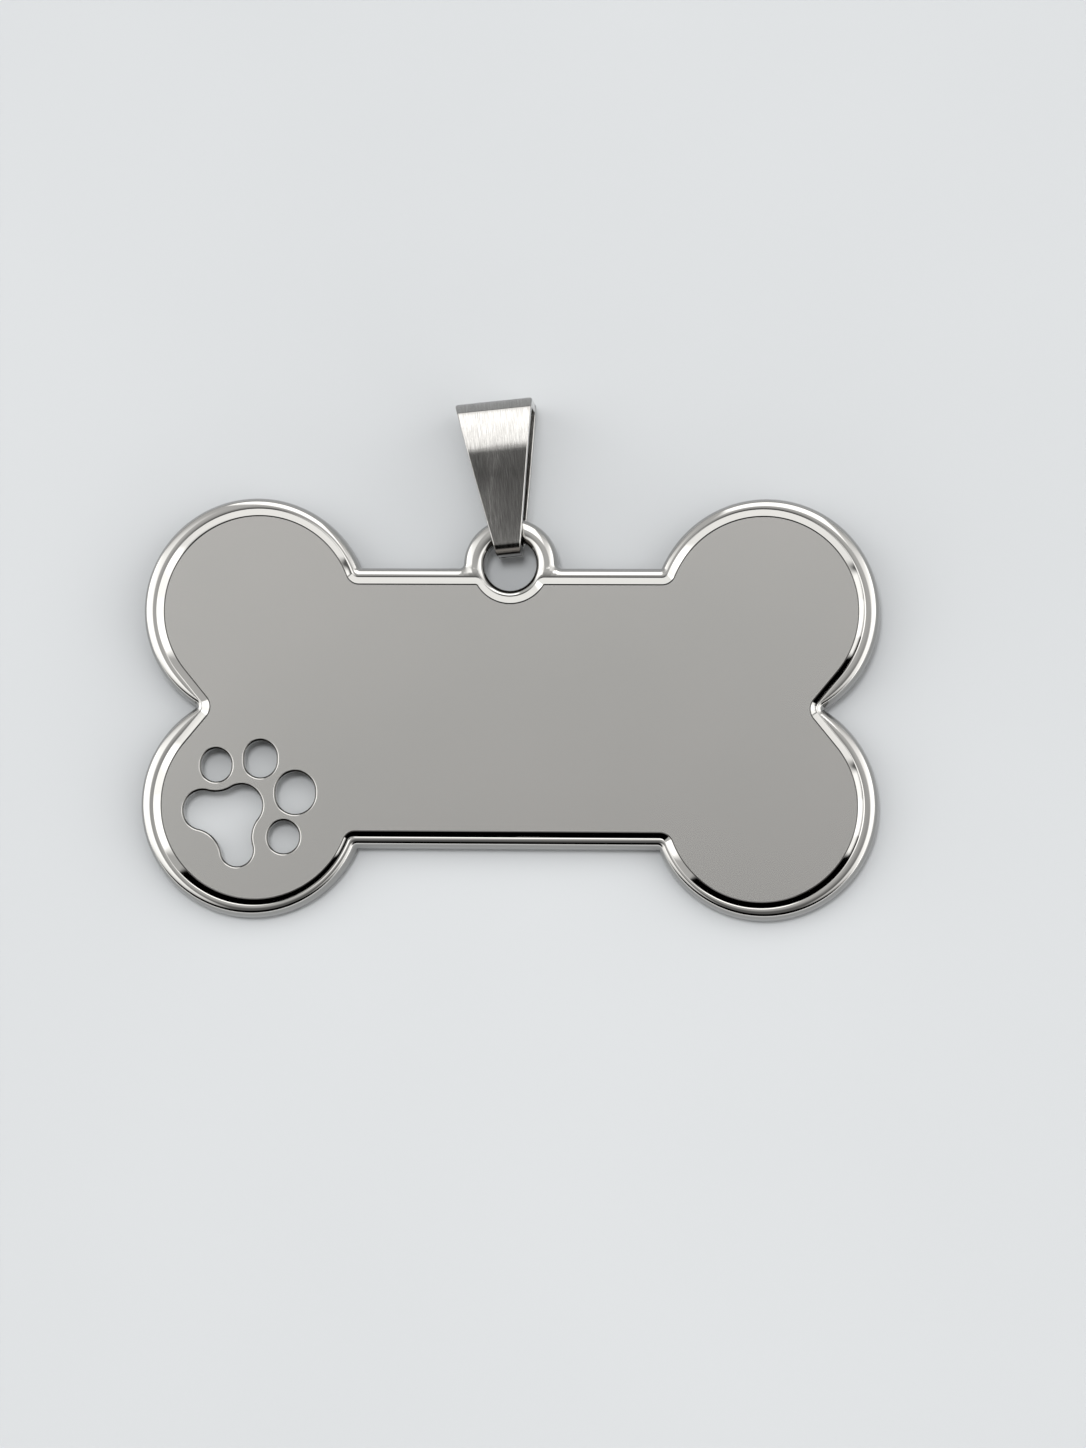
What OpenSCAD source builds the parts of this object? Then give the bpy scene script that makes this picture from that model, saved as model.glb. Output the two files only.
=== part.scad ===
// Bone-shaped pet identification tag, lying face up.
// A raised, rounded rim runs round a recessed panel. The eye at the top of the waist carries a folded
// strip bail that swings in it, and a paw is cut through one lobe.
// X runs along the bone, Y towards the eye and Z out of the panel. The origin is the middle of the back.

/* [Bone outline] */
// Radius of each of the four lobes
lobe_r = 7.7; // [7.2:0.1:8.4]
// Distance between the left and right lobe centres
lobe_pitch_x = 34.6; // [31:0.1:46]
// Overlap of the upper and the lower lobe
lobe_overlap = 2.2; // [1.4:0.1:3]
// Width of the waist, from edge to edge
waist_w = 19.1; // [17.5:0.1:20.5]
// Radius of the outline's inner corners, between two lobes and where a lobe meets the waist
notch_r = 0.05; // [0.03:0.01:0.2]

/* [Plate section] */
// Thickness of the plate at the rim and round the eye
rim_t = 1.7; // [1.5:0.1:2]
// Depth of the panel below the top of the rim
recess_d = 0.45; // [0.4:0.05:0.7]
// Radius of the edge round the back
back_edge_r = 0.3; // [0.1:0.05:0.4]
// Width of the rounding on the rim's outer side
crown_w = 0.5; // [0.3:0.05:0.55]
// Height of the rounding on the rim's outer side
crown_h = 0.9; // [0.5:0.05:1.1]
// Radius of the rounding on the rim's inner side
rim_inner_r = 0.35; // [0.15:0.05:0.38]

/* [Rim and panel] */
// Width of the rim over the top and bottom of the lobes
rim_w = 1.24; // [1:0.02:1.5]
// Extra width of the rim at the two ends of the bone
end_rim_extra = 0.17; // [0:0.01:0.3]
// Width of the rim along the waist
waist_rim_w = 1.15; // [0.95:0.05:1.4]
// Width of the rim inside the notch between two lobes
notch_rim_w = 0.95; // [0.9:0.05:1.2]
// Radius that rounds the rim's corners where a lobe meets the waist
rim_corner_r = 0.9; // [0.5:0.05:1.3]

/* [Eye] */
// Radius of the hole in the eye
eye_hole_r = 1.75; // [1.7:0.05:2]
// Radius of the eye's outer edge
eye_outer_r = 3.25; // [3.1:0.05:3.6]
// Radius of the full-thickness ring where it stands into the panel
eye_ring_r = 2.6; // [2.5:0.05:2.9]
// Distance of the hole's centre outside the waist's edge
eye_rise = 0.15; // [-0.1:0.05:0.45]
// Radius that rounds both edges of the hole
eye_edge_r = 0.4; // [0.2:0.05:0.45]

/* [Paw cut-out] */
// Distance of the paw's centre from the lobe's centre, towards the end of the bone
paw_out = 1.6; // [1.2:0.1:1.8]
// Distance of the paw's centre from the lobe's centre, away from the long axis
paw_down = 1; // [0.8:0.1:1.3]
// Width of the paw, from one outer toe's centre to the other's
paw_w = 6.72; // [6.2:0.02:6.9]
// Turn of the paw from upright towards the middle of the bone
paw_turn = 45; // [30:1:60]
// Radius of the largest toe
toe_r = 1.3; // [1.1:0.02:1.36]
// Radius that rounds the front edges of the cut-outs
paw_edge_r = 0.28; // [0.1:0.02:0.32]
// Radius that rounds the back edges of the cut-outs
paw_back_r = 0.18; // [0.08:0.02:0.3]
// Radius of the pad's upper lobe
pad_top_r = 1.36; // [1.2:0.02:1.44]
// Radius of the pad's left lobe
pad_left_r = 1.27; // [1.1:0.02:1.4]
// Radius of the pad's right lobe
pad_right_r = 1.04; // [0.9:0.02:1.3]
// Radius of the hollow between the pad's lobes
pad_hollow_r = 2.1; // [1.6:0.05:2.6]

/* [Bail] */
// Thickness of the strip that the bail is folded from
strip_t = 0.65; // [0.5:0.05:0.8]
// Length of the bail from the middle of the eye's bar to its outer end
bail_reach = 8.6; // [7:0.1:11]
// Width of the strip at the outer end
bail_top_w = 5.3; // [4.6:0.1:6]
// Width of the strip at the foot, inside the eye
bail_foot_w = 1.6; // [1.4:0.05:1.65]
// Depth of the bail over its outer end
bail_depth = 4.9; // [4.3:0.1:5.6]
// Clearance from the middle of the eye's bar to the inside of the strip
bail_gap = 1.25; // [1.2:0.05:1.35]
// Inner radius of the four bends
bend_r = 0.2; // [0.1:0.05:0.35]
// Radius of the two corners at the outer end
bail_corner_r = 0.25; // [0.1:0.05:0.6]
// Width of the seam where the strip's two ends meet under the eye's bar
seam_w = 0.14; // [0.08:0.02:0.3]
// Length of the relief notch at the left end of the seam
seam_notch_l = 0.55; // [0.3:0.05:0.8]
// Width of the relief notch
seam_notch_w = 0.5; // [0.3:0.05:0.8]
// Lean of the bail to the left of straight up
bail_lean = 6; // [-20:1:20]

/* [Hidden] */

overrun = 0.5;          // how far a cutter runs past the face that it cuts
lobe_facets = 24;       // facets over one lobe
small_facets = 3;       // facets over a corner, a notch or a hollow
eye_facets = 9;         // facets over a quarter of the eye
back_facets = 2;        // facets over the back edge
crown_facets = 4;       // facets over the outer side of the rim
inner_facets = 3;       // facets over the inner side of the rim
cut_facets = 3;         // facets over a cut-out's edge
ring_lead = 2;          // points on the straight before the eye's ring
toe_facets = 8;         // facets over half a toe or one lobe of the pad
bend_facets = 6;        // facets over a bend or a corner of the strip
edge_share = 0.96;      // share of its radius that the round at the eye's hole has room for
round_share = 0.9;      // share of the rim's flat that the rounding on its inner side may take
quarter_points = lobe_facets + 2 * small_facets + 3;    // points of an outline from a notch to the waist
$fn = 96;

lobe = [lobe_pitch_x / 2, lobe_r - lobe_overlap / 2];
notch = [lobe.x + sqrt(pow(lobe_r + notch_r, 2) - pow(lobe.y, 2)), 0];
shoulder_y = waist_w / 2 + notch_r;
shoulder = [lobe.x - sqrt(pow(lobe_r + notch_r, 2) - pow(shoulder_y - lobe.y, 2)), shoulder_y];
eye = [0, waist_w / 2 + eye_rise];
panel_z = rim_t - recess_d;

// The recess follows the outline at the rim's width
recess_lobe = [lobe.x - end_rim_extra, lobe.y];
recess_lobe_r = lobe_r - rim_w;
recess_half_w = waist_w / 2 - waist_rim_w;
rim_corner_y = recess_half_w + rim_corner_r;
rim_corner = [
    recess_lobe.x - sqrt(pow(recess_lobe_r + rim_corner_r, 2) - pow(rim_corner_y - recess_lobe.y, 2)),
    rim_corner_y
];
// The rounding on the rim's inner side is limited by the rim's narrowest place
inner_r = min(rim_inner_r, round_share * (min(rim_w - end_rim_extra, waist_rim_w, notch_rim_w) - crown_w));

// Toes in the upright paw, as shares. The centre, across and up, is a share of the paw's width, and the
// radius and the extra length along Y are shares of the largest toe's radius.
toe_shares = [
    [[-0.481, 0.281], 0.762, 0.108],
    [[-0.21, 0.643], 0.815, 0.215],
    [[0.283, 0.656], 1, 0.123],
    [[0.519, 0.26], 0.785, 0.046]
];
// Centres of the pad's lobes, counterclockwise, as shares of the paw's width
pad_shares = [[-0.007, 0.179], [-0.253, -0.131], [0.283, -0.168]];
pad_r = [pad_top_r, pad_left_r, pad_right_r];

// The bail turns about the middle of the eye's bar, which is the top of the eye's ring
bar_r = (eye_hole_r + eye_outer_r) / 2;
foot = -(bail_gap + strip_t);
outer_bend_r = bend_r + strip_t;

function polar(r, a) = r * [cos(a), sin(a)];
function bearing(from, to) = atan2(to.y - from.y, to.x - from.x);
function wrap(a) = a - 360 * floor(a / 360);
function arc(centre, r, a, b, facets) = [for (i = [0:facets]) centre + polar(r, a + (b - a) * i / facets)];
function reversed(points) = [for (i = [len(points) - 1:-1:0]) points[i]];
function mirror_x(points) = reversed([for (p = points) [-p.x, p.y]]);
function mirror_y(points) = reversed([for (p = points) [p.x, -p.y]]);
function half_turn(points) = [for (p = points) -p];
function without_first(points) = [for (i = [1:len(points) - 1]) points[i]];
function without_last(points) = [for (i = [0:len(points) - 2]) points[i]];

// Where two circles meet, on the right of the way from the first centre to the second
function meeting(c1, r1, c2, r2) =
    let (d = norm(c2 - c1), along = (c2 - c1) / d, a = (r1 * r1 - r2 * r2 + d * d) / (2 * d))
    c1 + along * a + [along.y, -along.x] * sqrt(r1 * r1 - a * a);

// A closed outline, counterclockwise, from its upper and its lower right quarter. Both quarters start on
// the X axis, and the upper one ends on the Y axis.
function from_quarters(upper, lower) = concat(
    upper,
    without_first(mirror_x(upper)),
    without_first(half_turn(lower)),
    without_last(mirror_y(lower))
);

// The bone with its eye, moved in by inset: round the notch, over the lobe, along the waist and over the
// eye. It has as many points as the recess, one beside the other.
function bone_outline(inset) =
    let (
        r = lobe_r - inset,
        eye_r = eye_outer_r - inset,
        half_w = waist_w / 2 - inset,
        start = bearing(lobe, notch),
        corner = bearing(lobe, shoulder),
        quarter = concat(
            arc(notch, notch_r + inset, 180, 180 + start, small_facets),
            without_first(arc(lobe, r, start, corner, lobe_facets + 1)),
            without_first(arc(shoulder, notch_r + inset, corner - 180, -90, small_facets + 1))
        ),
        round_eye = arc(eye, eye_r, asin((half_w - eye.y) / eye_r), 90, eye_facets)
    )
    from_quarters(concat(quarter, round_eye), quarter);

// The panel's edge, moved out by outset. The rim stands round the notch and the eye's ring, and a
// straight stretch joins the notch's round to the lobe's.
function recess_outline(outset) =
    let (
        r = recess_lobe_r + outset,
        nose_r = notch_r + notch_rim_w,
        ring_r = eye_ring_r - outset,
        ring_start = asin((recess_half_w + outset - eye.y) / ring_r),
        reach = min(1, (recess_lobe_r + nose_r) / norm(notch - recess_lobe)),
        tangent = bearing(recess_lobe, notch) + acos(reach),
        corner = bearing(recess_lobe, rim_corner),
        quarter = concat(
            arc(notch, nose_r - outset, 180, 180 + tangent, small_facets),
            arc(recess_lobe, r, tangent, corner, lobe_facets),
            without_first(arc(rim_corner, rim_corner_r - outset, corner - 180, -90, small_facets + 1))
        ),
        ring = arc(eye, ring_r, ring_start, -90, eye_facets - ring_lead),
        lead = (ring_r - ring[0].x) / ring_lead
    )
    from_quarters(concat(quarter, [for (i = [ring_lead:-1:1]) ring[0] + [i * lead, 0]], ring), quarter);

// The pad's three lobes, joined by hollows that touch both neighbours, moved out by outset
function pad_outline(outset) =
    let (
        centres = paw_w * pad_shares,
        count = len(centres),
        hollows = [for (i = [0:count - 1])
            let (j = (i + 1) % count)
            meeting(centres[i], pad_r[i] + pad_hollow_r, centres[j], pad_r[j] + pad_hollow_r)]
    )
    [for (i = [0:count - 1])
        let (
            c = centres[i],
            next = centres[(i + 1) % count],
            after = hollows[i],
            start = bearing(c, hollows[(i + count - 1) % count]),
            back = bearing(after, c)
        )
        each concat(
            arc(c, pad_r[i] + outset, start, start + wrap(bearing(c, after) - start), toe_facets),
            without_last(without_first(
                arc(after, pad_hollow_r - outset, back, back - wrap(back - bearing(after, next)), small_facets)))
        )];

// A toe's hole, longer along Y by stretch, moved out by outset
function toe_outline(r, stretch, outset) = concat(
    arc([0, stretch / 2], r + outset, 0, 180, toe_facets),
    arc([0, -stretch / 2], r + outset, 180, 360, toe_facets)
);

// Steps over a quarter round, w wide and h high, that leaves a wall and ends flat: [sideways, along]
function quarter_round(w, h, facets) = [for (i = [0:facets])
    [w * (1 - cos(90 * i / facets)), h * sin(90 * i / facets)]];

// Levels of the edge that a quarter round gives a wall that starts at z
function round_from(z, w, h, facets) = [for (s = quarter_round(w, h, facets)) [s.x, z + s.y]];

// Levels of a cutter that goes right through a plate of thickness t, with both its edges rounded
function through_levels(t, back_r, front_r) = concat(
    [[back_r, -overrun]],
    reversed([for (s = quarter_round(back_r, back_r, cut_facets)) [s.x, back_r - s.y]]),
    round_from(t - front_r, front_r, front_r, cut_facets),
    [[front_r, t + overrun]]
);

function raised(outline, z) = [for (p = outline) [p.x, p.y, z]];

// Triangles that close a ring of points, counterclockwise, whose first point has the number first. Each
// span of the ring, [hub, from, to], is a fan about its hub. Hub 0 joins the others.
function fans(n, first, hub, spans) = [for (s = spans)
    let (own = hub + s[0])
    each concat(
        [for (j = [s[1]:s[2] - 1]) [first + j, first + (j + 1) % n, own]],
        s[0] == 0 ? [] : [[first + s[1], own, hub], [own, first + s[2] % n, hub]]
    )];

// A solid through closed rings of points, each beside the one before, closed at both ends by fans
module stack(rings, first_hubs = [[0, 0]], last_hubs = [[0, 0]], spans = undef) {
    n = len(rings[0]);
    last = len(rings) - 1;
    hub = len(rings) * n;
    used = is_undef(spans) ? [[0, 0, n]] : spans;
    // The left side and the right side split their squares the same way, each in mirror image
    sides = [for (i = [0:last - 1], j = [0:n - 1])
        let (a = i * n + j, b = i * n + (j + 1) % n, middle = rings[i][j] + rings[i][(j + 1) % n])
        each middle.x * middle.y < 0 ? [[a, a + n, b + n], [a, b + n, b]] : [[a, a + n, b], [a + n, b + n, b]]];
    polyhedron(
        concat(
            [for (ring = rings) each ring],
            raised(first_hubs, rings[0][0].z),
            raised(last_hubs, rings[last][0].z)
        ),
        concat(
            sides,
            fans(n, 0, hub, used),
            [for (t = fans(n, last * n, hub + len(first_hubs), used)) reversed(t)]
        )
    );
}

// The bone, from its back over the rim and down to the panel
module bone_with_rim() {
    outside = concat(
        reversed([for (s = quarter_round(back_edge_r, back_edge_r, back_facets)) [s.x, back_edge_r - s.y]]),
        round_from(rim_t - crown_h, crown_w, crown_h, crown_facets)
    );
    inside = concat(
        reversed(round_from(rim_t - inner_r, inner_r, inner_r, inner_facets)),
        [[0, panel_z]]
    );
    rings = concat(
        [for (level = outside) raised(bone_outline(level.x), level.y)],
        [for (level = inside) raised(recess_outline(level.x), level.y)]
    );
    // Each lobe's stretch of the outline is a fan about the lobe's centre. The other hub lies towards the eye
    // on the back, and away from it on the panel, so that the whole of the eye's arc is in its view.
    n = len(rings[0]);
    half = 2 * (quarter_points + eye_facets);
    lobes = [lobe, [-lobe.x, lobe.y], -lobe, [lobe.x, -lobe.y]];
    stack(
        rings,
        concat([eye / 2], lobes),
        concat([-eye / 2], lobes),
        [
            [1, 0, quarter_points - 1],
            [0, quarter_points - 1, half - quarter_points + 1],
            [2, half - quarter_points + 1, half],
            [3, half, half + quarter_points - 1],
            [0, half + quarter_points - 1, n - quarter_points + 1],
            [4, n - quarter_points + 1, n]
        ]
    );
}

// The hole's wall ends in a round at both faces, which meets the face at a slight angle
module eye_hole() {
    round_h = eye_edge_r * edge_share;
    translate(eye)
        rotate_extrude()
            difference() {
                translate([0, -overrun]) square([eye_hole_r + eye_edge_r, rim_t + 2 * overrun]);
                translate([eye_hole_r, round_h]) square([eye_edge_r, rim_t - 2 * round_h]);
                for (z = [round_h, rim_t - round_h])
                    translate([eye_hole_r + eye_edge_r, z]) circle(eye_edge_r);
            }
}

module paw_cuts() {
    levels = through_levels(panel_z, paw_back_r, paw_edge_r);
    translate(-lobe - [paw_out, paw_down]) rotate(-paw_turn) {
        stack([for (level = levels) raised(pad_outline(level.x), level.y)]);
        for (toe = toe_shares)
            translate(paw_w * toe[0]) rotate(paw_turn)
                stack([for (level = levels) raised(toe_outline(toe_r * toe[1], toe_r * toe[2], level.x), level.y)]);
    }
}

module tag_plate() {
    color("silver")
        difference() {
            bone_with_rim();
            eye_hole();
            paw_cuts();
        }
}

// The outline of a tapered shape along X from x0 to x1, h0 and h1 wide to each side, with its corners
// rounded to r and its whole edge moved in by inset
function taper_outline(x0, x1, h0, h1, r, inset = 0) =
    let (
        slope = atan((h1 - h0) / (x1 - x0)),
        near = [x0 + r, h0 + r * tan(slope) - r / cos(slope)],
        far = [x1 - r, h1 - r * tan(slope) - r / cos(slope)],
        side = concat(
            arc(far, r - inset, 0, 90 + slope, bend_facets),
            arc(near, r - inset, 90 + slope, 180, bend_facets)
        )
    )
    concat(side, mirror_y(side));

module strip_loop() {
    difference() {
        polygon(taper_outline(foot, bail_reach, -foot, bail_depth / 2, outer_bend_r));
        polygon(taper_outline(foot, bail_reach, -foot, bail_depth / 2, outer_bend_r, strip_t));
    }
}

module strip_plan() {
    polygon(taper_outline(foot, bail_reach, bail_foot_w / 2, bail_top_w / 2, bail_corner_r));
}

// The seam where the strip's ends meet, with the notch at its left end
module seam() {
    cut_y = strip_t + overrun + bend_r / 2;
    translate([-bail_foot_w, foot - overrun, -seam_w / 2])
        cube([2 * bail_foot_w, cut_y, seam_w]);
    translate([-bail_foot_w, foot - overrun, -seam_notch_w / 2])
        cube([bail_foot_w / 2 + seam_notch_l, cut_y, seam_notch_w]);
}

module bail() {
    color("gainsboro")
        translate([eye.x, eye.y, rim_t / 2]) rotate(bail_lean) translate([0, bar_r])
            difference() {
                intersection() {
                    rotate([90, 0, 90]) linear_extrude(2 * bail_top_w, center = true) strip_loop();
                    rotate(90) linear_extrude(2 * bail_depth, center = true) strip_plan();
                }
                seam();
            }
}

tag_plate();
bail();
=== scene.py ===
import math

import bpy
import numpy as np
from mathutils import Matrix
from mathutils.geometry import delaunay_2d_cdt


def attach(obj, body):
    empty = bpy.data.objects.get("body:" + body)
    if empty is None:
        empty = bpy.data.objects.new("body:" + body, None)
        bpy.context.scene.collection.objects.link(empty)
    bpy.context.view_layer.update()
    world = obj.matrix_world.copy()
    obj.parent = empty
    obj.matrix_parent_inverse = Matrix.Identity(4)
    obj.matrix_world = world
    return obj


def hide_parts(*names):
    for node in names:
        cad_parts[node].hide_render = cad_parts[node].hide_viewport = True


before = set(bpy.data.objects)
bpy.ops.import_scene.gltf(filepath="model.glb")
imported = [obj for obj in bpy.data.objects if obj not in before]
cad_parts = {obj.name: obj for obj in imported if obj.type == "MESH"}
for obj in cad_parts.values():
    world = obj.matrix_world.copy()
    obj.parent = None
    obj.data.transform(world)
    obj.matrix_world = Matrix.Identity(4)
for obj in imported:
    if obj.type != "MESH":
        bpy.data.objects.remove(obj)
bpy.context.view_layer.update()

MM = 0.001

# The tag's sizes
SKIN = 0.006                    # how far the surfaces stay inside the solid's outline
LOBE_R = 7.7 - SKIN
LOBE = np.array([17.3, 6.6])
WAIST = 9.55 - SKIN             # half the waist's height
NOTCH_R = 0.05 + SKIN
THICK = 1.7
PANEL_Z = 1.25
RIM_W = 1.24 - SKIN
END_RIM_EXTRA = 0.17            # how much wider the rim is at the tag's two ends
WAIST_RIM_W = 1.15 - SKIN
NOTCH_RIM_W = 0.95 - SKIN
RIM_CORNER_R = 0.9
EYE = np.array([0.0, 9.7])
EYE_HOLE_R = 1.75
EYE_OUTER_R = 3.25 - SKIN
EYE_RING_R = 2.6
EYE_HOLLOW_R = 0.25             # where the eye's side runs into the waist
RING_HOLLOW_R = 0.16            # where the eye's ring leaves the rim of the waist
CREST_OUT, CREST_IN = 10, 5     # tilt of the rim's top at its outer and at its inner edge

# The paw: toes as centre, radius and extra length, and the pad's lobes as centre and radius. Centres are
# shares of the upright paw's width, the toes' sizes are shares of TOE_R, and the pad's are millimetres
PAW = np.array([-18.9, -7.6])
PAW_TURN = -45.0
PAW_W = 6.72
TOE_R = 1.3
TOES = [
    ((-0.481, 0.281), 0.762, 0.108),
    ((-0.21, 0.643), 0.815, 0.215),
    ((0.283, 0.656), 1.0, 0.123),
    ((0.519, 0.26), 0.785, 0.046),
]
PAD = [((-0.007, 0.179), 1.36), ((-0.253, -0.131), 1.27), ((0.283, -0.168), 1.04)]
PAD_HOLLOW_R = 2.1

# The bail's sizes, in its own axes: X across the strip, Y outwards from the eye's bar, Z its depth
BAR_R = 2.5                     # from the eye's centre to the middle of its bar
STRIP_T = 0.65
STRIP_EDGE_R = 0.07
BAIL_FOOT = -1.9
BAIL_REACH = 8.598
BAIL_TOP_HALF = 2.65            # half the strip's width at its outer end
BAIL_FOOT_HALF = 0.8
BAIL_TOP_R = 0.25               # the strip's rounded corners at its outer end
BAIL_LEAN = 6.0
BEND_R = 0.525
FOOT_RUN = 1.05                 # from the middle of the foot to its bend
END_RUN = 3.0                   # from the outer bend to well past the middle of the end
LEAF_LOWER, LEAF_UPPER = 6.1, 2.9
LEAF_RISE, LEAF_END = 6.0, -9.0     # the leaf's headings at its two ends
LEAF_BOW = 3.0                  # how far the leaf's lower part turns
SEAM_HALF = 0.07
SEAM_REST = 0.01                # the shortest step that is left next to the seam
BITE_DEPTH, BITE_HALF = 0.55, 0.2

# The strip's heading and the heading that its shine has there: at the outer bend the light shows a flat
# steep band with a sharp edge, so the surface's normals turn at once
SHINE = np.array([
    [-90, -90], [-67, -80], [-52, -68], [-15, -60], [-9, -21], [-7, -16], [-5, -10], [0, -5],
    [1.2, -2], [2.2, 5], [3, 11], [3.6, 12], [5, 10], [6, 6], [90, 90],
])

# Colours: the polished steel's two, its painted shade, the brushed steel's two and the painted shade on its
# foot, the table
PALE_STEEL, BRIGHT_STEEL = (0.60, 0.595, 0.575, 1.0), (0.625, 0.615, 0.595, 1.0)
# Painted shade: a dark steel colour for the tag's steep sides, hole walls, eye ring and inner rim corner
PAINTED_SHADE_STEEL = (0.10, 0.098, 0.094, 1.0)
GREY_HAIR, BRIGHT_HAIR = (0.36, 0.35, 0.335, 1.0), (0.74, 0.73, 0.71, 1.0)
# Painted shade for the front of the bail's foot, down in the eye's hole
HOLE_SHADE_STEEL = (0.13, 0.12, 0.11, 1.0)
TABLE_GREY, TABLE_PALE = (0.505, 0.52, 0.533, 1.0), (0.53, 0.545, 0.558, 1.0)

# The light: how bright the ceiling is in front and at the back, the soft boxes and the low band in front
CEILING_FRONT, CEILING_BACK = 0.15, 0.62
BOXES = 1.5
LOW_BAND = 1.15
KEY_WATTS, KEY_SIZE = 8.0, 0.3
KEY_AT = (-0.05, 0.2, 1.4)

# The camera: where it stood and how it was turned, from the outlines in the photograph
IMAGE_H = 1448
FOCAL_PX = 5819.8
SENSOR = 36.0
CAMERA_AT = (0.0324709, -0.0347103, 0.3913481)
CAMERA_TURN = {"X": 0.0865535, "Y": 0.0761828, "Z": 0.0109219}


def polar(degrees):
    """Unit vectors at these angles from the X axis."""
    a = np.radians(np.asarray(degrees, float))
    return np.stack([np.cos(a), np.sin(a)], -1)


def bearing(a, b):
    """The angle from the X axis at which b is seen from a."""
    return math.degrees(math.atan2(b[1] - a[1], b[0] - a[0]))


def column(values):
    return np.atleast_1d(np.asarray(values, float))[:, None]


def arc(centre, radius, start, end, count):
    """One arc per radius: centre plus radius times the unit vector, at count angles from start to end."""
    share = np.linspace(0, 1, count)[None]
    angles = column(start) + (column(end) - column(start)) * share
    return np.asarray(centre) + column(radius)[..., None] * polar(angles)


def line(a, b, count):
    """The points between a and b, one row per pair, without the two ends: a plus a share of b less a."""
    share = np.linspace(0, 1, count + 2)[1:-1][None, :, None]
    return a[:, None] + (b - a)[:, None] * share


def closed(upper, lower):
    """Whole outlines from an upper and a lower quarter, both drawn in the upper right from the X axis to the
    Y axis: the upper one, its mirror image, and the lower one turned half round and mirrored."""
    return np.concatenate([
        upper,
        (upper * [-1, 1])[:, ::-1][:, 1:],
        (lower * [-1, -1])[:, 1:],
        (lower * [1, -1])[:, ::-1][:, 1:-1],
    ], axis=1)


def corner_of(lobe, reach, y):
    """Where a circle of that reach about the lobe has the height y, on the side of the waist."""
    return np.array([lobe[0] - math.sqrt(reach**2 - (y - lobe[1]) ** 2), y])


def hollow_by_eye(reach, y):
    """The centre of a hollow beside the eye: at that reach from the eye's centre, and at the height y."""
    return np.array([math.sqrt(reach**2 - (y - EYE[1]) ** 2), y])


NOTCH = np.array([LOBE[0] + math.sqrt((LOBE_R + NOTCH_R) ** 2 - LOBE[1] ** 2), 0.0])
SHOULDER = corner_of(LOBE, LOBE_R + NOTCH_R, WAIST + NOTCH_R)
RECESS_LOBE = LOBE - [END_RIM_EXTRA, 0]
RECESS_R = LOBE_R - RIM_W
RECESS_HALF = WAIST - WAIST_RIM_W
RIM_CORNER = corner_of(RECESS_LOBE, RECESS_R + RIM_CORNER_R, RECESS_HALF + RIM_CORNER_R)


def with_waist(quarter, eye, half, steps):
    """The closed outline of a quarter that ends at the waist. Above, the waist's straight runs in that many
    steps to the eye, and below it runs to the middle, at the height half."""
    middle = np.stack([np.zeros_like(half), half], -1)
    return closed(
        np.concatenate([quarter, line(quarter[:, -1], eye[:, 0], steps), eye], axis=1),
        np.concatenate([quarter, line(quarter[:, -1], middle, 40), middle[:, None]], axis=1),
    )


def bone_outlines(inset):
    """The bone's outline moved in by each inset: an arc about the notch, the lobe, an arc about the shoulder,
    the waist's straight and the eye. Each arc's radius grows or shrinks by the inset."""
    start, corner = bearing(LOBE, NOTCH), bearing(LOBE, SHOULDER)
    quarter = np.concatenate([
        arc(NOTCH, NOTCH_R + inset, 180, 180 + start, 14),
        arc(LOBE, LOBE_R - inset, start, corner, 190)[:, 1:],
        arc(SHOULDER, NOTCH_R + inset, corner - 180, -90, 12)[:, 1:],
    ], axis=1)
    hollow = hollow_by_eye(EYE_OUTER_R + EYE_HOLLOW_R, WAIST + EYE_HOLLOW_R)
    back = bearing(hollow, EYE)
    eye = np.concatenate([
        arc(hollow, EYE_HOLLOW_R + inset, -90, back - 360 * (back > 0), 16),
        arc(EYE, EYE_OUTER_R - inset, bearing(EYE, hollow), 90, 70)[:, 1:],
    ], axis=1)
    return with_waist(quarter, eye, WAIST - inset, 24)


def recess_outlines(outset):
    """The panel's outline moved out by each outset: the rim's round at the notch, a straight, the lobe, the
    rim's corner, the waist's straight and the eye's ring, which stands into the panel."""
    nose = NOTCH_R + NOTCH_RIM_W
    tangent = bearing(RECESS_LOBE, NOTCH) + math.degrees(
        math.acos(min(1, (RECESS_R + nose) / np.linalg.norm(NOTCH - RECESS_LOBE))))
    corner = bearing(RECESS_LOBE, RIM_CORNER)
    first = arc(NOTCH, nose - outset, 180, 180 + tangent, 18)
    lobe = arc(RECESS_LOBE, RECESS_R + outset, tangent, corner, 190)
    quarter = np.concatenate([
        first,
        line(first[:, -1], lobe[:, 0], 8),
        lobe,
        arc(RIM_CORNER, RIM_CORNER_R - outset, corner - 180, -90, 20)[:, 1:],
    ], axis=1)
    hollow = hollow_by_eye(EYE_RING_R + RING_HOLLOW_R, RECESS_HALF - RING_HOLLOW_R)
    towards = bearing(hollow, EYE)
    ring = np.concatenate([
        arc(hollow, RING_HOLLOW_R + outset, 90, towards, 14),
        arc(EYE, EYE_RING_R - outset, towards - 180, -90, 60)[:, 1:],
    ], axis=1)
    return with_waist(quarter, ring, RECESS_HALF + outset, 20)


def turned(points, degrees):
    """Points turned about the origin: each row times the turn's matrix."""
    c, s = math.cos(math.radians(degrees)), math.sin(math.radians(degrees))
    return np.asarray(points) @ np.array([[c, s], [-s, c]])


def toe_outlines(outset, toe):
    """A toe's hole moved out by each outset: two half circles, a short way apart along Y."""
    place, size, stretch = toe
    half = np.array([0, TOE_R * stretch / 2])
    ring = np.concatenate([
        arc(half, TOE_R * size + outset, 0, 180, 60),
        arc(-half, TOE_R * size + outset, 180, 360, 60),
    ], axis=1)
    return ring + turned(np.array(place) * PAW_W, PAW_TURN) + PAW


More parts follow.
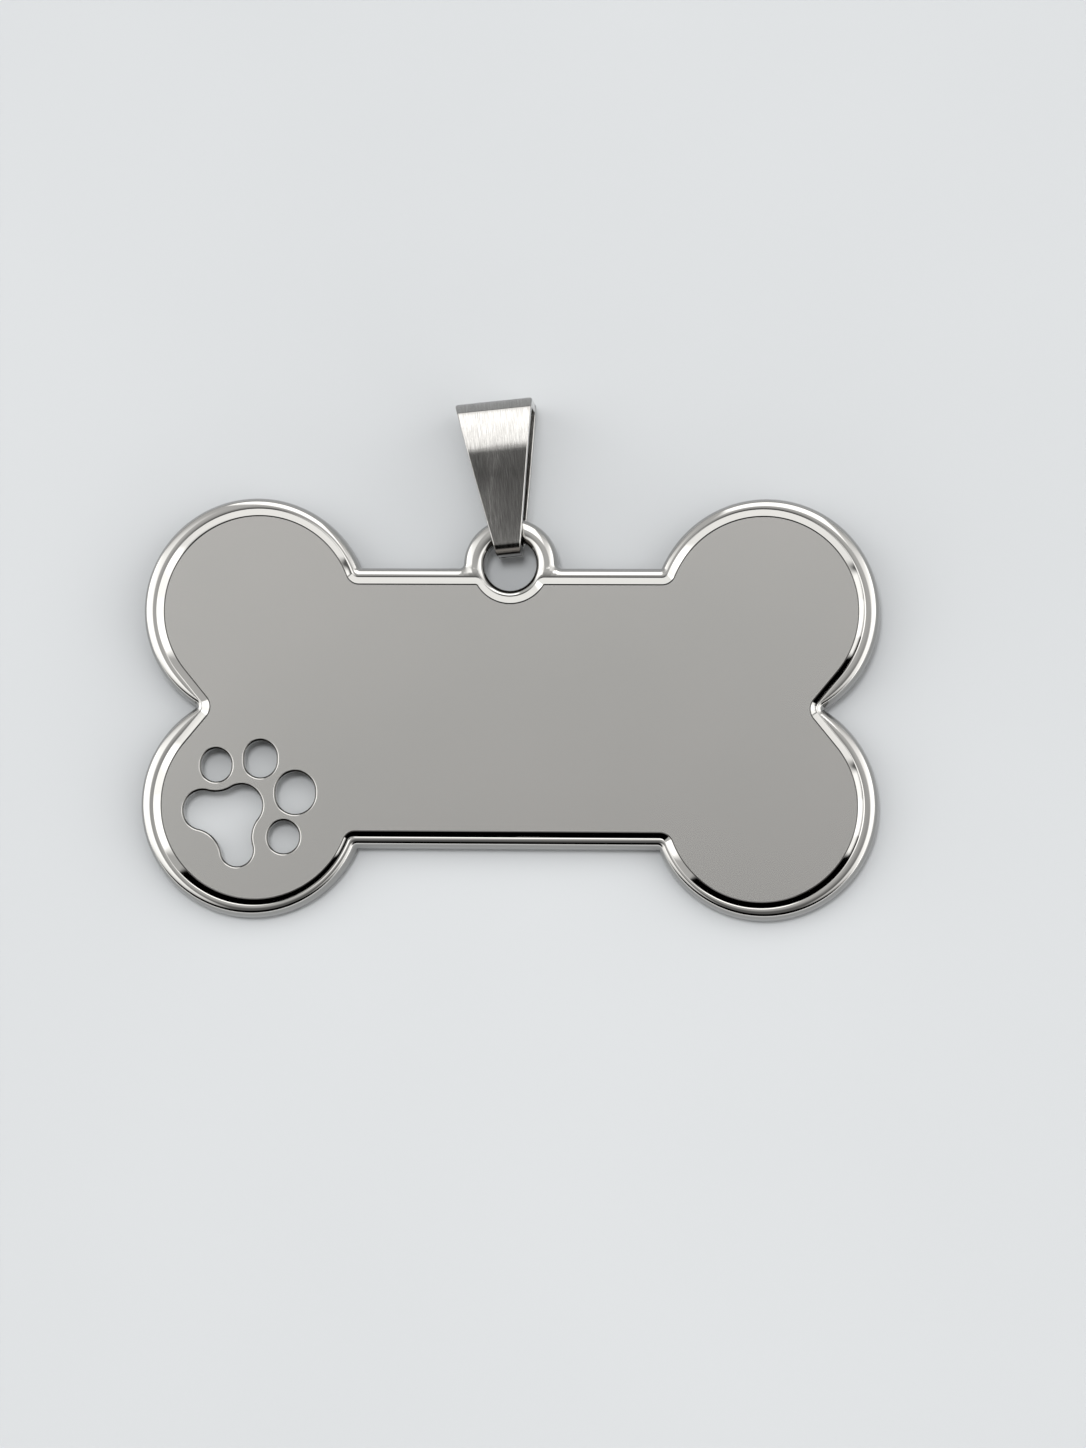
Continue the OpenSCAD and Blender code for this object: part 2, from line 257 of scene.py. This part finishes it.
def pad_outlines(outset):
    """The pad's hole moved out by each outset: three arcs, joined by hollows that touch both neighbours. A
    hollow's centre is where the circles of radius plus hollow about its two neighbours cross."""
    centres = [np.array(place) * PAW_W for place, r in PAD]
    radii = [r for place, r in PAD]
    hollows = []
    for i in range(3):
        j = (i + 1) % 3
        d = np.linalg.norm(centres[j] - centres[i])
        along = (centres[j] - centres[i]) / d
        r1, r2 = radii[i] + PAD_HOLLOW_R, radii[j] + PAD_HOLLOW_R
        a = (r1 * r1 - r2 * r2 + d * d) / (2 * d)
        hollows.append(centres[i] + along * a + np.array([along[1], -along[0]]) * math.sqrt(r1 * r1 - a * a))
    pieces = []
    for i in range(3):
        c, after = centres[i], hollows[i]
        start = bearing(c, hollows[i - 1])
        back = bearing(after, c)
        onward = (back - bearing(after, centres[(i + 1) % 3])) % 360
        pieces.append(arc(c, radii[i] + outset, start, start + (bearing(c, after) - start) % 360, 60))
        pieces.append(arc(after, PAD_HOLLOW_R - outset, back, back - onward, 26)[:, 1:-1])
    return turned(np.concatenate(pieces, axis=1), PAW_TURN) + PAW


def eye_outlines(outset):
    """The eye's hole moved out by each outset: one circle."""
    return arc(EYE, EYE_HOLE_R + outset, 0, 360, 181)[:, :-1]


def profile(start, pieces, end):
    """A wall's section as a walk: each piece has a length, a tilt at its start and at its end, and a number of
    steps, and a step at tilt t goes cos t sideways and sin t up. The walk is stretched to reach its end. Gives
    rows of place sideways, height and tilt; the surface's normal leans back by the tilt."""
    tilts, steps = [], []
    for length, first, last, count in pieces:
        tilts.append(np.linspace(first, last, count, endpoint=False))
        steps.append(np.full(count, length / count))
    tilts = np.radians(np.concatenate(tilts + [[pieces[-1][2]]]))
    middle = (tilts[1:] + tilts[:-1]) / 2
    way = np.stack([np.cos(middle), np.sin(middle)], -1) * np.concatenate(steps)[:, None]
    walk = np.concatenate([[[0, 0]], np.cumsum(way, axis=0)])
    walk *= (np.array(end) - start) / walk[-1]
    return np.column_stack([walk + start, tilts])


def by_tilt(table, tilts, values):
    """A value for each row of a profile, read off between these tilts in degrees."""
    return np.interp(np.degrees(table[:, 2]), tilts, values)


class Shell:
    """A closed surface put together from rings of points: walls climb over rings, and flats fill between.
    Every point has a normal, a share of satin and a share of painted shade, a dark steel colour in place of
    shade."""

    def __init__(self):
        self.points, self.normals, self.satin, self.dull, self.faces, self.count = [], [], [], [], [], 0

    def wall(self, outlines, table, dull, satin=0.0, outward=True):
        """A profile carried along a path: level k is the outline moved by the profile's k-th place, at its k-th
        height. Where g is the way the outline moves and t the tilt, the normal is cos t times Z less sin t
        times g. Outward is for an outline that shrinks as it moves."""
        offsets, heights, tilts = table.T
        rings = outlines(offsets)
        levels, around = rings.shape[:2]
        g = outlines(offsets + 1e-4) - rings
        g /= np.linalg.norm(g, axis=-1, keepdims=True)
        tilts = tilts[:, None, None]
        up = np.broadcast_to(heights[:, None, None], (levels, around, 1))
        normals = np.concatenate([-np.sin(tilts) * g, np.cos(tilts) * np.ones((1, around, 1))], -1)
        index = np.arange(levels * around).reshape(levels, around) + self.count
        turn = np.roll(index, -1, axis=1)
        quads = np.stack([index[:-1], turn[:-1], turn[1:], index[1:]], -1).reshape(-1, 4)
        self.faces.append(quads if outward else quads[:, ::-1])
        self.points.append(np.concatenate([rings, up], -1).reshape(-1, 3))
        self.normals.append(normals.reshape(-1, 3))
        self.satin.append(np.repeat(np.broadcast_to(satin, levels), around))
        self.dull.append(np.repeat(dull, around))
        self.count += levels * around
        return index

    def flat(self, rings, up):
        """A flat between rings that the walls have already made, the first outside and the others holes in
        it: their plane is divided into triangles with the rings as its only corners."""
        corners = np.concatenate(rings)
        plane = np.concatenate(self.points)[corners][:, :2]
        loops, first = [], 0
        for ring in rings:
            loops.append(list(range(first, first + len(ring))))
            first += len(ring)
        triangles = np.array(delaunay_2d_cdt([tuple(q) for q in plane], [], loops, 2, 1e-7)[2])
        a, b, c = (plane[triangles[:, k]] for k in range(3))
        way = (b - a)[:, 0] * (c - a)[:, 1] - (b - a)[:, 1] * (c - a)[:, 0] > 0
        self.faces.append(corners[np.where((way == up)[:, None], triangles, triangles[:, ::-1])])

    def mesh(self, name):
        mesh = bpy.data.meshes.new(name)
        faces = [tuple(f) for block in self.faces for f in block.tolist()]
        mesh.from_pydata((np.concatenate(self.points) * MM).tolist(), [], faces)
        # Satin sets the gloss, and the painted shade share darkens the colour as painted shade
        for finish, values in ("satin", self.satin), ("dull", self.dull):
            mesh.attributes.new(finish, "FLOAT", "POINT").data.foreach_set("value", np.concatenate(values))
        mesh.shade_smooth()
        mesh.update()
        mesh.normals_split_custom_set_from_vertices(np.concatenate(self.normals).tolist())
        return mesh


def tag_mesh():
    """The plate: the side and the rim's outer slope over the bone's outline, the rim's inner slope over the
    panel's, the eye's wall, the cut-outs' walls, and the flats between them. The rim's top has the normals of
    its two slopes at its edges, so it looks like one round bead. The steep sides, the eye's ring and wall, the
    holes' walls and the rim's inner corner get painted shade, a dark steel colour in place of shade and dark
    reflections, and polish stays as a thin line where the rim meets the panel."""
    shell = Shell()
    top = THICK - SKIN
    corner_steps = 8
    side = profile((0.3, 0.0), [
        (0.471, 180, 90, 8), (0.70, 90, 80, 5), (0.56, 80, 56, 10), (0.05, 56, 28, 6),
        (0.155, 28, CREST_OUT, 8),
    ], (0.45, top))
    slope = profile((-0.07, PANEL_Z), [
        (0.10, 0, 36, corner_steps), (0.50, 36, 42, 4), (0.05, 42, 12, 8), (0.04, 12, CREST_IN, 3),
    ], (0.47, top))
    eye_wall = profile((0.4, 0.0), [
        (0.628, 180, 90, 10), (0.85, 90, 90, 3), (0.28, 88, 52, 8), (0.30, 52, 10, 10),
    ], (0.35, top))
    cut = profile((0.25, 0.0), [
        (0.393, 180, 90, 7), (0.90, 90, 90, 3), (0.08, 90, 30, 5), (0.14, 30, 10, 8), (0.02, 10, 0, 2),
    ], (0.20, PANEL_Z))
    # Painted shade: the steep sides, the eye's ring and wall, the holes' walls and the rim's inner corner are
    # darkened in colour where shade and dark reflections fall
    side_dull = by_tilt(side, [54, 60, 80, 88], [0, 0.5, 0.5, 1])
    eye_dull = by_tilt(eye_wall, [24, 32, 56, 64, 76, 84], [0, 0.9, 0.9, 0.2, 0.2, 0.9])
    cut_dull = by_tilt(cut, [14, 18, 60, 89, 91], [0, 1, 1, 0.8, 0])
    slope_rows, cut_rows = np.arange(len(slope)), np.arange(len(cut))
    slope_dull = ((slope_rows > 0) & (slope_rows < corner_steps)) * 1.0
    slope_satin = (slope_rows == 0) * 1.0
    cut_satin = (cut_rows == cut_rows[-1]) * 1.0

    outside = shell.wall(bone_outlines, side, side_dull)
    inside = shell.wall(recess_outlines, slope, slope_dull, slope_satin, outward=False)
    eye = shell.wall(eye_outlines, eye_wall, eye_dull, outward=False)
    holes = [pad_outlines] + [lambda outset, toe=toe: toe_outlines(outset, toe) for toe in TOES]
    cuts = [shell.wall(hole, cut, cut_dull, cut_satin, outward=False) for hole in holes]
    shell.flat([outside[0], eye[0]] + [c[0] for c in cuts], up=False)
    shell.flat([outside[-1], inside[-1], eye[-1]], up=True)
    shell.flat([inside[0]] + [c[-1] for c in cuts], up=True)
    return shell.mesh("tag_plate_skin")


def strip_walk(lower):
    """Half of the strip's middle line, as rows of its length so far, heading, Y and Z. Each part has a length,
    a heading at its start and at its end, and a number of steps, and a step at heading h goes cos h along Y
    and sin h along Z. Lower is the length of the leaf's lower part."""
    parts = [
        (FOOT_RUN, 90, 90, 12),
        (BEND_R * math.radians(90 - LEAF_RISE), 90, LEAF_RISE, 22),
        (lower, LEAF_RISE, LEAF_RISE - LEAF_BOW, 40),
        (LEAF_UPPER, LEAF_RISE - LEAF_BOW, LEAF_END, 50),
        (BEND_R * math.radians(90 + LEAF_END), LEAF_END, -90, 24),
        (END_RUN, -90, -90, 20),
    ]
    s, h, start = [], [], 0.0
    for length, first, last, count in parts:
        share = np.linspace(0, 1, count, endpoint=False)
        s.append(start + share * length)
        h.append(first + (last - first) * share)
        start += length
    s, h = np.concatenate(s + [[start]]), np.radians(np.concatenate(h + [[-90.0]]))
    ds, middle = np.diff(s), (h[1:] + h[:-1]) / 2
    y = BAIL_FOOT + STRIP_T / 2 + np.concatenate([[0], np.cumsum(np.cos(middle) * ds)])
    z = np.concatenate([[0], np.cumsum(np.sin(middle) * ds)])
    return np.stack([s, h, y, z], -1)


def bail_line():
    """The strip's whole middle line: half of it goes from the seam along the foot, round the lower bend, up the
    bowed leaf, round the outer bend and across the end to its middle, and the rest is its mirror image. The
    leaf is as long as the bail's reach asks."""
    short = BAIL_REACH - STRIP_T / 2 - strip_walk(LEAF_LOWER)[-1, 2]
    rows = strip_walk(LEAF_LOWER + short)
    rows = rows[(rows[:, 3] > 0) & (rows[:, 0] > SEAM_HALF + SEAM_REST)]
    half = np.concatenate([[[SEAM_HALF, math.pi / 2, BAIL_FOOT + STRIP_T / 2, SEAM_HALF]], rows])
    end = [half[-1, 0] + half[-1, 3], -math.pi / 2, half[-1, 2], 0.0]
    back = half[::-1] * [-1, -1, 1, -1] + [2 * end[0], -math.pi, 0, 0]
    return np.concatenate([half, [end], back])


def bail_mesh():
    """A strip folded into a tapered loop: its rounded section is carried along the middle line, as wide at each
    point as the taper is there. At the seam its left corner is cut back in a round notch."""
    s, h, y, z = bail_line().T
    thick, r = STRIP_T / 2, STRIP_EDGE_R
    a = np.radians(np.linspace(0, 90, 7))
    run = np.linspace(-1, 1, 13)[1:-1]
    rise, fall, level = np.sin(a), np.cos(a), 0 * run

    def all_round(*upper):
        """A value round the section: its right edge, outer face and left edge, and their negatives below."""
        upper = np.concatenate(upper)
        return np.concatenate([upper, -upper])

    # The place across from -1 to 1, a step in from that side, a height over the middle line and the normal
    across = all_round(np.ones(7), run[::-1], -np.ones(7))
    step_in = np.tile(np.concatenate([r - r * fall, r + level, r - r * rise]), 2)
    height = all_round(thick - r + r * rise, thick + level, thick - r + r * fall)
    normal_x = all_round(fall, level, -rise)
    normal_h = all_round(rise, 1 + level, fall)
    # The strip's outer side lies to the left of its heading
    out_y, out_z = -np.sin(h), np.cos(h)
    shine = np.concatenate([-180 - SHINE[:0:-1], SHINE])
    lit = np.radians(np.interp(np.degrees(h), shine[:, 0], shine[:, 1]))
    py = y[:, None] + out_y[:, None] * height
    pz = z[:, None] + out_z[:, None] * height
    share = (py - BAIL_FOOT) / (BAIL_REACH - BAIL_FOOT)
    half = BAIL_FOOT_HALF + (BAIL_TOP_HALF - BAIL_FOOT_HALF) * share
    corner = np.clip((py - (BAIL_REACH - BAIL_TOP_R)) / BAIL_TOP_R, 0, 0.999)
    half = half - BAIL_TOP_R * (1 - np.sqrt(1 - corner**2))
    ends = np.minimum(s - s[0], s[-1] - s)
    bite = BITE_DEPTH * np.sqrt(np.clip(1 - (ends / BITE_HALF) ** 2, 0, 1))[:, None]
    left, right = -half + bite + step_in, half - step_in
    px = left + (right - left) * (across + 1) / 2
    nx = np.broadcast_to(normal_x, px.shape)
    ny, nz = -np.sin(lit)[:, None] * normal_h, np.cos(lit)[:, None] * normal_h
    # Lean the bail about the eye's centre
    c, t = math.cos(math.radians(BAIL_LEAN)), math.sin(math.radians(BAIL_LEAN))
    reach = py + BAR_R
    points = np.stack([c * px - t * reach + EYE[0], t * px + c * reach + EYE[1], pz + THICK / 2], -1)
    normals = np.stack([c * nx - t * ny, t * nx + c * ny, nz], -1)
    levels, around = px.shape
    index = np.arange(levels * around).reshape(levels, around)
    turn = np.roll(index, -1, axis=1)
    quads = np.stack([index[:-1], index[1:], turn[1:], turn[:-1]], -1).reshape(-1, 4)
    caps = [tuple(index[0].tolist()), tuple(index[-1][::-1].tolist())]
    mesh = bpy.data.meshes.new("bail_skin")
    mesh.from_pydata((points.reshape(-1, 3) * MM).tolist(), [], [tuple(f) for f in quads.tolist()] + caps)
    uv = mesh.uv_layers.new(name="UVMap")
    place = np.stack([px.ravel() / (2 * BAIL_TOP_HALF) + 0.5, np.repeat(s / s[-1], around)], -1)
    corners = np.empty(len(mesh.loops), np.int32)
    mesh.loops.foreach_get("vertex_index", corners)
    uv.data.foreach_set("uv", place[corners].ravel())
    mesh.shade_smooth()
    mesh.polygons.foreach_set("use_smooth", [True] * len(quads) + [False, False])
    mesh.update()
    mesh.normals_split_custom_set_from_vertices(normals.reshape(-1, 3).tolist())
    return mesh


def shader(name):
    """An empty material with its output and its Principled surface."""
    material = bpy.data.materials.new(name)
    material.use_nodes = True
    tree = material.node_tree
    tree.nodes.clear()
    output = tree.nodes.new("ShaderNodeOutputMaterial")
    surface = tree.nodes.new("ShaderNodeBsdfPrincipled")
    tree.links.new(surface.outputs["BSDF"], output.inputs["Surface"])
    return material, tree, surface


def fill(tree, node, inputs):
    """Give a node its inputs, as values or as the sockets that feed them."""
    for key, value in dict(inputs).items():
        if isinstance(value, bpy.types.NodeSocket):
            tree.links.new(value, node.inputs[key])
        else:
            node.inputs[key].default_value = value


def made(tree, kind, inputs=(), **settings):
    """A node with its settings and its inputs."""
    node = tree.nodes.new(kind)
    for key, value in settings.items():
        setattr(node, key, value)
    fill(tree, node, inputs)
    return node


def ranged(tree, value, low, high, to_low, to_high):
    """A value's place between low and high, as the same place between two others."""
    return made(tree, "ShaderNodeMapRange", {
        "Value": value, "From Min": low, "From Max": high, "To Min": to_low, "To Max": to_high,
    }).outputs["Result"]


def added(tree, a, b):
    return made(tree, "ShaderNodeMath", {0: a, 1: b}, operation="ADD").outputs[0]


def noise(tree, vector, scale, detail, distortion=0.0):
    return made(tree, "ShaderNodeTexNoise", {
        "Vector": vector, "Scale": scale, "Detail": detail, "Distortion": distortion,
    }).outputs["Fac"]


def stretched(tree, vector, scale):
    return made(tree, "ShaderNodeMapping", {"Vector": vector, "Scale": scale}).outputs["Vector"]


def blended(tree, share, first, second):
    """A colour between two others, by a share of the second."""
    return made(tree, "ShaderNodeMix", {0: share, 6: first, 7: second}, data_type="RGBA").outputs[2]


def bumped(tree, height, strength, distance):
    return made(tree, "ShaderNodeBump", {
        "Height": height, "Strength": strength, "Distance": distance,
    }).outputs["Normal"]


def polished_steel():
    """Bright steel, mirror polished on the rim and the edges, a soft satin on the panel, and painted darker
    where the mesh carries painted shade, a dark steel colour in place of shade and dark reflections."""
    material, tree, surface = shader("polished_steel")
    where = made(tree, "ShaderNodeTexCoord").outputs["Object"]
    satin = made(tree, "ShaderNodeAttribute", attribute_name="satin").outputs["Fac"]
    dull = made(tree, "ShaderNodeAttribute", attribute_name="dull").outputs["Fac"]
    cloud = noise(tree, where, 60.0, 2.0)
    grain = noise(tree, stretched(tree, where, (300.0, 9000.0, 300.0)), 1.0, 3.0)
    steel = blended(tree, ranged(tree, cloud, 0.3, 0.7, 0.0, 1.0), PALE_STEEL, BRIGHT_STEEL)
    matt = ranged(tree, satin, 0.0, 1.0, 0.05, 0.18)
    fill(tree, surface, {
        # The painted shade turns the colour towards a dark steel
        "Base Color": blended(tree, dull, steel, PAINTED_SHADE_STEEL),
        "Metallic": 1.0,
        "Roughness": added(tree, matt, ranged(tree, grain, 0.2, 0.8, -0.004, 0.004)),
        "Normal": bumped(tree, grain, 0.01, 0.0000005),
    })
    return material


def brushed_steel():
    """Steel brushed along the strip: long fine scratches in its colour, its gloss and its surface. The front of
    the foot, down in the eye's hole, is painted dark as painted shade."""
    material, tree, surface = shader("brushed_steel")
    uv = made(tree, "ShaderNodeUVMap", uv_map="UVMap").outputs["UV"]
    along = made(tree, "ShaderNodeSeparateXYZ", {0: uv}).outputs["Y"]
    hair = noise(tree, stretched(tree, uv, (170.0, 26.0, 1.0)), 1.0, 4.0, 0.4)
    band = noise(tree, stretched(tree, uv, (38.0, 9.0, 1.0)), 1.0, 2.0, 0.6)
    steel = blended(tree, ranged(tree, hair, 0.25, 0.75, 0.0, 1.0), GREY_HAIR, BRIGHT_HAIR)
    # Painted shade: the front of the foot, down in the eye's hole, turns dark
    hole_shade = ranged(tree, along, 0.06, 0.069, 1.0, 0.0)
    fill(tree, surface, {
        "Base Color": blended(tree, hole_shade, steel, HOLE_SHADE_STEEL),
        "Metallic": 1.0,
        "Anisotropic": 0.5,
        "Roughness": ranged(tree, band, 0.2, 0.8, 0.12, 0.22),
        "Normal": bumped(tree, added(tree, hair, band), 0.5, 0.0000035),
    })
    return material


def table_paint():
    """Matt pale grey paint with a faint cloudiness."""
    material, tree, surface = shader("table_paint")
    where = made(tree, "ShaderNodeTexCoord").outputs["Object"]
    cloud = ranged(tree, noise(tree, where, 14.0, 3.0), 0.3, 0.7, 0.0, 1.0)
    fill(tree, surface, {
        "Base Color": blended(tree, cloud, TABLE_GREY, TABLE_PALE),
        "Roughness": 0.7,
        "Specular IOR Level": 0.2,
    })
    return material


def placed(name, data):
    """An object of that name in the scene, at the world's origin."""
    thing = bpy.data.objects.new(name, data)
    bpy.context.scene.collection.objects.link(thing)
    return thing


def piece(mesh, name, node, material, body):
    """A piece at the world's origin that stands for a node, rides on its body and has its slot's finish."""
    shown = placed(name, mesh)
    mesh.materials.append(material)
    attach(shown, body)
    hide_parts(node)
    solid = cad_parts[node].data.materials
    solid.clear()
    solid.append(material)


def add_table():
    """The table's top, a square that falls away from the lower lobes: the tag lies on it with the back edge of
    those lobes, and on the bail's outer end. Its height is the fall times the way from that edge."""
    half, edge_y, fall, gap = 1.5, -0.0142, 1.62 / 35.0, 0.00002
    corners = np.array([[-half, -half], [half, -half], [half, half], [-half, half]])
    height = -gap - fall * (corners[:, 1] - edge_y)
    mesh = bpy.data.meshes.new("table")
    mesh.from_pydata(np.column_stack([corners, height]).tolist(), [], [(0, 1, 2, 3)])
    mesh.materials.append(table_paint())
    placed("table", mesh)


def add_studio():
    """The room as a function of the way looked, with slopes u = x / z and v = y / z: three soft boxes, to the
    left, to the right and at the back, in a grey room. Its front is dark above and pale below, and its back is
    dark below. Each box, wall and band is a product of smooth edges."""
    world = bpy.data.worlds.new("studio")
    world.use_nodes = True
    tree = world.node_tree
    tree.nodes.clear()

    def math_of(kind, a, b):
        return made(tree, "ShaderNodeMath", {0: a, 1: b}, operation=kind).outputs[0]

    def edge(value, low, high):
        """A smooth step from 0 at low to 1 at high."""
        return made(tree, "ShaderNodeMapRange", {"Value": value, "From Min": low, "From Max": high},
                    interpolation_type="SMOOTHSTEP").outputs["Result"]

    def product(*values):
        whole = values[0]
        for value in values[1:]:
            whole = math_of("MULTIPLY", whole, value)
        return whole

    way = made(tree, "ShaderNodeSeparateXYZ", {0: made(tree, "ShaderNodeTexCoord").outputs["Generated"]})
    up = way.outputs["Z"]
    safe = math_of("MAXIMUM", up, 0.05)
    u = math_of("DIVIDE", way.outputs["X"], safe)
    v = math_of("DIVIDE", way.outputs["Y"], safe)

    def side(a, b):
        """The slope across a slanting edge: a times u plus b times v."""
        return math_of("ADD", math_of("MULTIPLY", u, a), math_of("MULTIPLY", v, b))

    left = product(edge(u, -0.18, -0.26), edge(side(0.6, 1), 0.3, -0.2), edge(side(-0.27, 1), -0.4, 0.1),
                   edge(up, 0.08, 0.18))
    right = product(edge(u, 0.07, 0.15), edge(side(-0.7, 1), 0.4, -0.3), edge(side(0.7, 1), -0.4, 0.3),
                    edge(up, 0.08, 0.18))
    back = product(edge(v, 0.18, 0.25), edge(side(1, 0.42), -0.03, 0.04), edge(side(1, -0.47), 0.04, -0.03),
                   edge(up, 0.6, 0.68))
    # Nothing bright stands right overhead, where the panel and the bail's long side look
    aside = edge(math_of("ADD", math_of("MULTIPLY", u, u), math_of("MULTIPLY", v, v)), 0.03, 0.07)
    boxes = product(math_of("MAXIMUM", math_of("MAXIMUM", left, right), back), aside)
    # The dark front, the dark wall low at the back, and the pale band low in front
    front = product(edge(v, -0.28, -0.42), edge(up, 0.5, 0.6), edge(side(-0.5, 1), 0.1, -0.2),
                    edge(side(0.5, 1), 0.1, -0.2))
    wall = product(edge(up, 0.44, 0.38), edge(up, 0.0, 0.03), edge(side(0.36, 1), -0.1, 0.2),
                   edge(side(-1.2, 1), -0.1, 0.3))
    low = product(edge(up, 0.5, 0.42), edge(up, 0.02, 0.08), edge(side(-0.4, 1), 0.3, -0.3),
                  edge(side(0.4, 1), 0.3, -0.3))
    dark = math_of("SUBTRACT", 1.0, math_of("MAXIMUM", front, wall))
    grey = product(ranged(tree, v, -0.1, 0.12, CEILING_FRONT, CEILING_BACK), dark)
    level = math_of("ADD", math_of("ADD", grey, product(low, LOW_BAND)), product(boxes, BOXES))
    backdrop = made(tree, "ShaderNodeBackground", {"Color": (1.0, 0.995, 0.985, 1.0), "Strength": level})
    tree.links.new(backdrop.outputs[0], made(tree, "ShaderNodeOutputWorld").inputs["Surface"])
    bpy.context.scene.world = world


def add_key_lamp():
    """A lamp high above and a little behind: it lights the table through the holes, and the steel doesn't show
    it."""
    light = bpy.data.lights.new("key", "AREA")
    light.shape = "DISK"
    light.size = KEY_SIZE
    light.energy = KEY_WATTS
    key = placed("key", light)
    key.visible_glossy = False
    place = Matrix.Translation(KEY_AT)
    key.matrix_world = place @ place.translation.to_track_quat("Z", "Y").to_matrix().to_4x4()


def add_camera():
    """The photograph's camera, turned about X, then Y, then Z."""
    lens = bpy.data.cameras.new("camera")
    lens.sensor_fit = "VERTICAL"
    lens.sensor_height = SENSOR
    lens.lens = FOCAL_PX / IMAGE_H * SENSOR
    lens.clip_start = 0.01
    lens.clip_end = 50.0
    x, y, z = (Matrix.Rotation(angle, 4, axis) for axis, angle in CAMERA_TURN.items())
    stand = placed("camera", lens)
    stand.matrix_world = Matrix.Translation(CAMERA_AT) @ (z @ y @ x)
    bpy.context.scene.camera = stand


piece(tag_mesh(), "tag_plate_skin", "tag_plate", polished_steel(), "tag")
piece(bail_mesh(), "bail_skin", "bail", brushed_steel(), "bail")
add_table()
add_studio()
add_key_lamp()
add_camera()
bpy.context.scene.view_settings.view_transform = "Standard"
